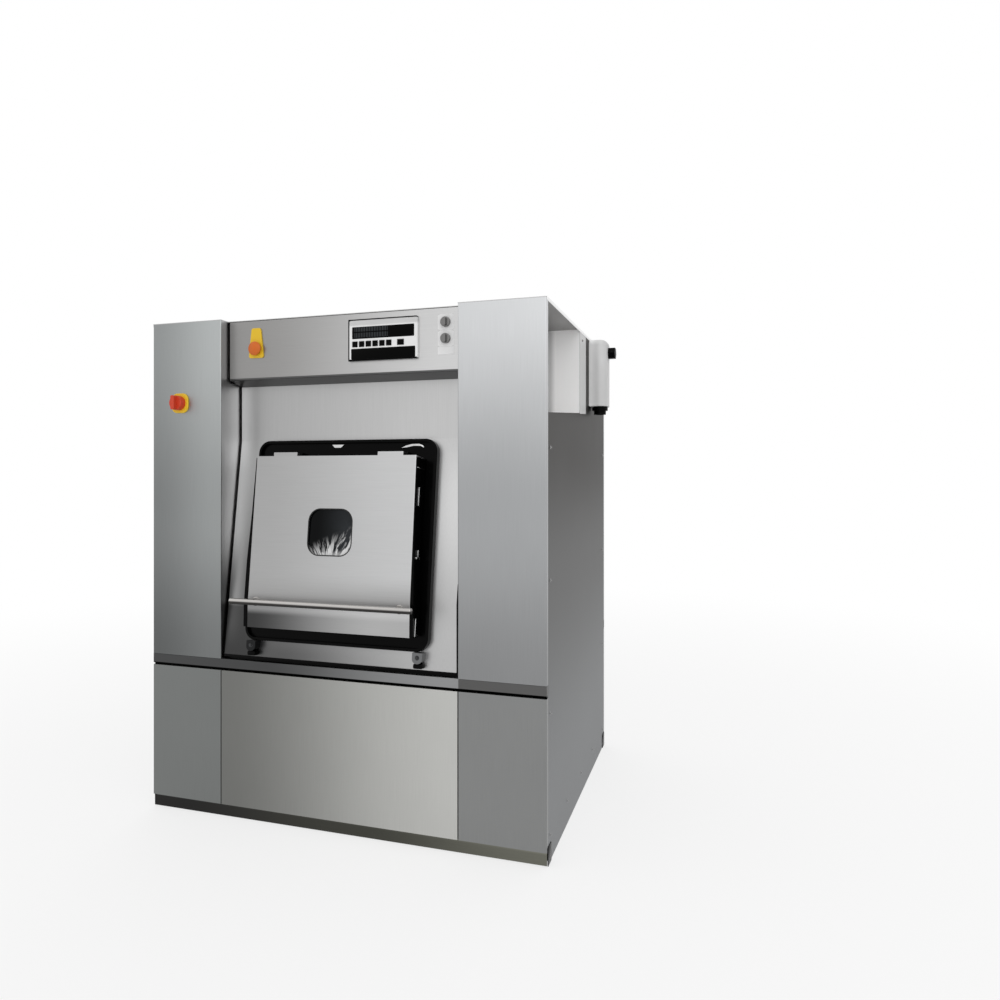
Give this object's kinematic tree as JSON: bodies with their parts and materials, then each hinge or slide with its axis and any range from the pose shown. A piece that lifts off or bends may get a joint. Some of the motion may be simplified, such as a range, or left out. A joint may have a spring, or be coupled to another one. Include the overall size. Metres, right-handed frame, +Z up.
{
  "type": "industrial washing machine",
  "caption": "Barrier washing machine: stainless cabinet with a lift-up door on both long sides, a cross-axis drum behind hinged flaps, and push-key controls.",
  "frame": {"origin": "centre of the anchor pattern on the floor, under the middle of the cabinet", "axes": "+Z up, -Y towards the unloading side, X along the drum axis"},
  "size_m": [1.7813, 1.4402, 1.9],
  "materials": {
    "stainless": "satin brushed stainless sheet",
    "rail": "brushed, a little darker",
    "handle_steel": "polished round bar",
    "kick_dark": "dark painted",
    "frame_paint": "grey paint on steel section",
    "black_seal": "glossy black rubber-faced frame",
    "clamp_grey": "grey moulded",
    "window_glass": "dark toughened glass",
    "machined_steel": "turned steel",
    "cast_iron": "painted casting",
    "belt_rubber": "black belt",
    "motor_paint": "blue-grey paint",
    "panel_frame": "silver panel frame",
    "black_key": "black moulded",
    "signal_yellow": "yellow",
    "signal_red": "red",
    "switch_metal": "plated",
    "white_housing": "white moulded",
    "pipe_metal": "stainless pipe"
  },
  "bodies": {
    "cabinet": {"base_frame": "frame_paint", "side_portals": "frame_paint", "front_left_column": "stainless", "front_right_column": "stainless", "rear_left_column": "stainless", "rear_right_column": "stainless", "front_lintel": "stainless", "rear_lintel": "stainless", "front_apron": "stainless", "rear_apron": "stainless", "front_lower_panels": "stainless", "rear_lower_panels": "stainless", "trim_rails": "rail", "kick_plates": "kick_dark", "left_side_panel": "stainless", "right_side_panel": "stainless", "top_cover": "stainless", "front_door_frame": "black_seal", "rear_door_frame": "black_seal", "frame_clamps": "clamp_grey", "tub": "stainless", "bearing_housings": "cast_iron", "drive_belt": "belt_rubber", "motor": "motor_paint", "front_control_panel": "panel_frame", "rear_control_panel": "panel_frame", "isolator_plate": "signal_yellow", "emergency_plate": "signal_yellow", "dispenser_housing": "white_housing", "dispenser_outlet": "black_key", "water_inlets": "pipe_metal", "drain_valve": "pipe_metal"},
    "front_door": {"front_door": "stainless", "front_door_window": "window_glass", "front_door_handle": "handle_steel"},
    "rear_door": {"rear_door": "stainless", "rear_door_window": "window_glass", "rear_door_handle": "handle_steel"},
    "drum": {"drum": "stainless", "drum_shafts": "machined_steel", "drum_pulley": "cast_iron"},
    "drum_upper_flap": {"drum_upper_flap": "stainless"},
    "drum_lower_flap": {"drum_lower_flap": "stainless"},
    "motor_pulley": {"motor_pulley": "cast_iron"},
    "isolator_knob": {"isolator_knob": "signal_red"},
    "emergency_button": {"emergency_button": "signal_red"},
    "upper_key_switch": {"upper_key_switch": "switch_metal"},
    "lower_key_switch": {"lower_key_switch": "switch_metal"},
    "dispenser_knob": {"dispenser_knob": "black_key"},
    "front_key_1": {"front_key_1": "black_key"},
    "front_key_2": {"front_key_2": "black_key"},
    "front_key_3": {"front_key_3": "black_key"},
    "front_key_4": {"front_key_4": "black_key"},
    "front_key_5": {"front_key_5": "black_key"},
    "front_key_6": {"front_key_6": "black_key"},
    "front_key_7": {"front_key_7": "black_key"},
    "rear_key_1": {"rear_key_1": "black_key"},
    "rear_key_2": {"rear_key_2": "black_key"},
    "rear_key_3": {"rear_key_3": "black_key"},
    "rear_key_4": {"rear_key_4": "black_key"}
  },
  "joints": [
    {"name": "front_door_hinge", "type": "hinge", "parent": "cabinet", "child": "front_door", "pos_m": [0, -0.5531, 1.38058], "axis": [-1, 0, 0], "range_deg": [0, 105]},
    {"name": "rear_door_hinge", "type": "hinge", "parent": "cabinet", "child": "rear_door", "pos_m": [0, 0.5531, 1.38058], "axis": [1, 0, 0], "range_deg": [0, 105]},
    {"name": "drum_spin", "type": "hinge", "parent": "cabinet", "child": "drum", "pos_m": [0, 0, 0.985], "axis": [1, 0, 0], "continuous": true},
    {"name": "motor_spin", "type": "hinge", "parent": "cabinet", "child": "motor_pulley", "pos_m": [-0.645, 0.25, 0.262], "axis": [1, 0, 0], "continuous": true},
    {"name": "upper_flap_hinge", "type": "hinge", "parent": "drum", "child": "drum_upper_flap", "pos_m": [0, -0.32134, 1.28994], "axis": [1, 0, 0], "range_deg": [0, 110]},
    {"name": "lower_flap_hinge", "type": "hinge", "parent": "drum", "child": "drum_lower_flap", "pos_m": [0, -0.38932, 0.77362], "axis": [-1, 0, 0], "range_deg": [0, 110]},
    {"name": "isolator_turn", "type": "hinge", "parent": "cabinet", "child": "isolator_knob", "pos_m": [-0.666, -0.6, 1.585], "axis": [0, 1, 0], "range_deg": [0, 90]},
    {"name": "emergency_push", "type": "slide", "parent": "cabinet", "child": "emergency_button", "axis": [0, 1, 0], "range_m": [0, 0.004], "stiffness_N_per_m": 900},
    {"name": "upper_switch_turn", "type": "hinge", "parent": "cabinet", "child": "upper_key_switch", "pos_m": [0.42, -0.555, 1.845], "axis": [0, 1, 0], "range_deg": [0, 90]},
    {"name": "lower_switch_turn", "type": "hinge", "parent": "cabinet", "child": "lower_key_switch", "pos_m": [0.42, -0.555, 1.787], "axis": [0, 1, 0], "range_deg": [0, 90]},
    {"name": "dispenser_turn", "type": "hinge", "parent": "cabinet", "child": "dispenser_knob", "pos_m": [0.795, 0.245, 1.837], "axis": [1, 0, 0], "range_deg": [0, 120]},
    {"name": "front_key_1_push", "type": "slide", "parent": "cabinet", "child": "front_key_1", "axis": [0, 1, 0], "range_m": [0, 0.0015], "stiffness_N_per_m": 400},
    {"name": "front_key_2_push", "type": "slide", "parent": "cabinet", "child": "front_key_2", "axis": [0, 1, 0], "range_m": [0, 0.0015], "stiffness_N_per_m": 400},
    {"name": "front_key_3_push", "type": "slide", "parent": "cabinet", "child": "front_key_3", "axis": [0, 1, 0], "range_m": [0, 0.0015], "stiffness_N_per_m": 400},
    {"name": "front_key_4_push", "type": "slide", "parent": "cabinet", "child": "front_key_4", "axis": [0, 1, 0], "range_m": [0, 0.0015], "stiffness_N_per_m": 400},
    {"name": "front_key_5_push", "type": "slide", "parent": "cabinet", "child": "front_key_5", "axis": [0, 1, 0], "range_m": [0, 0.0015], "stiffness_N_per_m": 400},
    {"name": "front_key_6_push", "type": "slide", "parent": "cabinet", "child": "front_key_6", "axis": [0, 1, 0], "range_m": [0, 0.0015], "stiffness_N_per_m": 400},
    {"name": "front_key_7_push", "type": "slide", "parent": "cabinet", "child": "front_key_7", "axis": [0, 1, 0], "range_m": [0, 0.0015], "stiffness_N_per_m": 400},
    {"name": "rear_key_1_push", "type": "slide", "parent": "cabinet", "child": "rear_key_1", "axis": [0, -1, 0], "range_m": [0, 0.0015], "stiffness_N_per_m": 400},
    {"name": "rear_key_2_push", "type": "slide", "parent": "cabinet", "child": "rear_key_2", "axis": [0, -1, 0], "range_m": [0, 0.0015], "stiffness_N_per_m": 400},
    {"name": "rear_key_3_push", "type": "slide", "parent": "cabinet", "child": "rear_key_3", "axis": [0, -1, 0], "range_m": [0, 0.0015], "stiffness_N_per_m": 400},
    {"name": "rear_key_4_push", "type": "slide", "parent": "cabinet", "child": "rear_key_4", "axis": [0, -1, 0], "range_m": [0, 0.0015], "stiffness_N_per_m": 400}
  ],
  "couplings": [
    {"joint": "motor_spin", "follows": "drum_spin", "ratio": 5}
  ]
}
